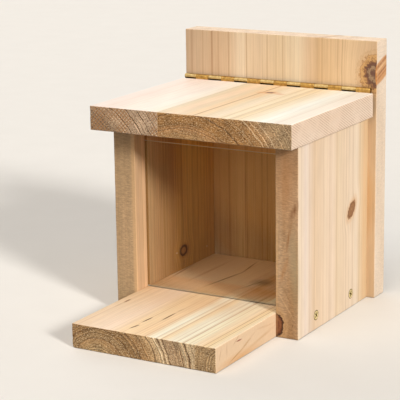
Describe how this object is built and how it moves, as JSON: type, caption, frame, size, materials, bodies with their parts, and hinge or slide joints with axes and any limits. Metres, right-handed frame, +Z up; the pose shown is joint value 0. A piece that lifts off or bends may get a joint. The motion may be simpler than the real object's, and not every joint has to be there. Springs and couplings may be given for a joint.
{
  "type": "squirrel feeder box",
  "caption": "Cedar squirrel feeder box: back panel for a tree, walls, floor that reaches out as a landing, clear pane, and a level roof that lifts on a continuous hinge.",
  "frame": {"origin": "bottom centre of the back panel's rear face, where it lies against the tree", "axes": "+Y points back into the tree, +X to the right as seen from the front, +Z up"},
  "size_m": [0.18, 0.2425, 0.217],
  "materials": {
    "cedar_panel": "planed, unfinished",
    "cedar_wall": "planed, unfinished",
    "cedar_floor": "planed, unfinished",
    "cedar_strip": "planed, unfinished",
    "cedar_roof_light": "planed, unfinished",
    "cedar_roof_warm": "planed, unfinished",
    "clear_acrylic": "clear, polished faces",
    "hinge_brass": "bright, lightly worn plating",
    "screw_brass": "yellow plated steel"
  },
  "bodies": {
    "box": {"back_panel": "cedar_panel", "left_wall": "cedar_wall", "right_wall": "cedar_wall", "floor_board": "cedar_floor", "floor_edge_strip": "cedar_strip", "hinge_back_leaf": "hinge_brass", "hinge_pin": "hinge_brass", "hinge_back_screws": "screw_brass", "left_wall_floor_screws": "screw_brass", "right_wall_floor_screws": "screw_brass", "back_left_wall_screws": "screw_brass", "back_right_wall_screws": "screw_brass", "back_floor_screws": "screw_brass"},
    "lid": {"roof_left_board": "cedar_roof_light", "roof_right_board": "cedar_roof_warm", "hinge_roof_leaf": "hinge_brass", "hinge_roof_screws": "screw_brass"},
    "pane": {"window_pane": "clear_acrylic"}
  },
  "joints": [
    {"name": "roof_hinge", "type": "hinge", "parent": "box", "child": "lid", "pos_m": [0, -0.02174, 0.1767], "axis": [-1, 0, 0], "range_deg": [0, 95]},
    {"name": "pane_slide", "type": "slide", "parent": "box", "child": "pane", "axis": [0, 0, 1], "range_m": [0, 0.013]}
  ]
}
